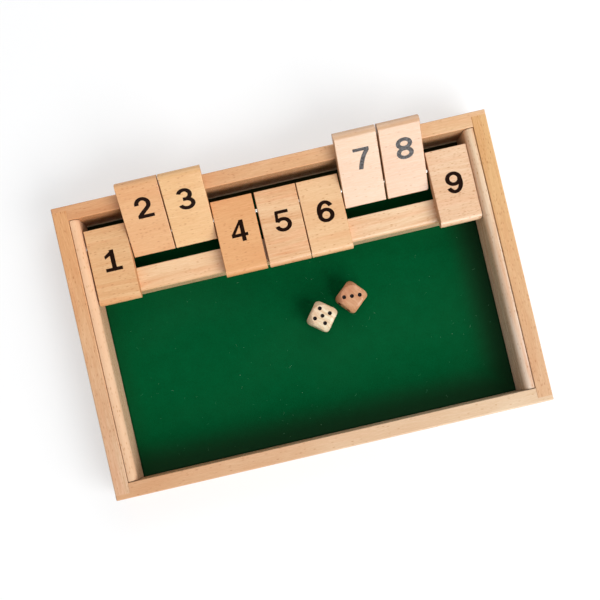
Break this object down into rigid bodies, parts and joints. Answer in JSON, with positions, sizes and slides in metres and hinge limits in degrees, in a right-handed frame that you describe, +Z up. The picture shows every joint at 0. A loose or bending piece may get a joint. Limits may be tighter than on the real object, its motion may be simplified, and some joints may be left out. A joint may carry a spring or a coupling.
{
  "type": "shut the box game",
  "caption": "Open wooden tray game with a felt floor, numbered flip tiles threaded on a steel rod behind a rest bar, and loose wooden dice.",
  "frame": {"origin": "middle of the underside, on the plane that the box stands on", "axes": "+X to the player's right along the row of tiles, +Y away from the player to the tile side, +Z up out of the tray"},
  "size_m": [0.3, 0.2049, 0.0476],
  "materials": {
    "rail_wood": "satin lacquered beech",
    "batten_wood": "satin lacquered beech",
    "tile_wood": "satin lacquered beech",
    "panel_wood": "bare thin plywood",
    "green_felt": "short-haired felt",
    "rod_steel": "drawn wire",
    "brad_steel": "bright",
    "pale_die_wood": "waxed pale beech",
    "brown_die_wood": "waxed brown beech"
  },
  "bodies": {
    "box": {"front_rail": "rail_wood", "back_rail": "rail_wood", "left_rail": "rail_wood", "right_rail": "rail_wood", "base_panel": "panel_wood", "base_brads": "brad_steel", "felt": "green_felt", "left_batten": "batten_wood", "right_batten": "batten_wood", "rest_bar": "batten_wood", "pivot_rod": "rod_steel"},
    "tile_1": {"tile_1": "tile_wood"},
    "tile_2": {"tile_2": "tile_wood"},
    "tile_3": {"tile_3": "tile_wood"},
    "tile_4": {"tile_4": "tile_wood"},
    "tile_5": {"tile_5": "tile_wood"},
    "tile_6": {"tile_6": "tile_wood"},
    "tile_7": {"tile_7": "tile_wood"},
    "tile_8": {"tile_8": "tile_wood"},
    "tile_9": {"tile_9": "tile_wood"},
    "die_five": {"die_five": "pale_die_wood"},
    "die_three": {"die_three": "brown_die_wood"}
  },
  "joints": [
    {"name": "tile_1_flip", "type": "hinge", "parent": "box", "child": "tile_1", "pos_m": [-0.11818, 0.0696, 0.025], "axis": [-1, 0, 0], "range_deg": [0, 148.8]},
    {"name": "tile_2_flip", "type": "hinge", "parent": "box", "child": "tile_2", "pos_m": [-0.08888, 0.0696, 0.025], "axis": [-1, 0, 0], "range_deg": [-148.8, 0]},
    {"name": "tile_3_flip", "type": "hinge", "parent": "box", "child": "tile_3", "pos_m": [-0.05954, 0.0696, 0.025], "axis": [-1, 0, 0], "range_deg": [-148.8, 0]},
    {"name": "tile_4_flip", "type": "hinge", "parent": "box", "child": "tile_4", "pos_m": [-0.03029, 0.0696, 0.025], "axis": [-1, 0, 0], "range_deg": [0, 148.8]},
    {"name": "tile_5_flip", "type": "hinge", "parent": "box", "child": "tile_5", "pos_m": [0, 0.0696, 0.025], "axis": [-1, 0, 0], "range_deg": [0, 148.8]},
    {"name": "tile_6_flip", "type": "hinge", "parent": "box", "child": "tile_6", "pos_m": [0.02924, 0.0696, 0.025], "axis": [-1, 0, 0], "range_deg": [0, 148.8]},
    {"name": "tile_7_flip", "type": "hinge", "parent": "box", "child": "tile_7", "pos_m": [0.05889, 0.0696, 0.025], "axis": [-1, 0, 0], "range_deg": [-148.8, 0]},
    {"name": "tile_8_flip", "type": "hinge", "parent": "box", "child": "tile_8", "pos_m": [0.08863, 0.0696, 0.025], "axis": [-1, 0, 0], "range_deg": [-148.8, 0]},
    {"name": "tile_9_flip", "type": "hinge", "parent": "box", "child": "tile_9", "pos_m": [0.11883, 0.0696, 0.025], "axis": [-1, 0, 0], "range_deg": [0, 148.8]},
    {"name": "die_five_lift", "type": "slide", "parent": "box", "child": "die_five", "axis": [0, 0, 1], "range_m": [0, 0.06]},
    {"name": "die_three_lift", "type": "slide", "parent": "box", "child": "die_three", "axis": [0, 0, 1], "range_m": [0, 0.06]}
  ]
}
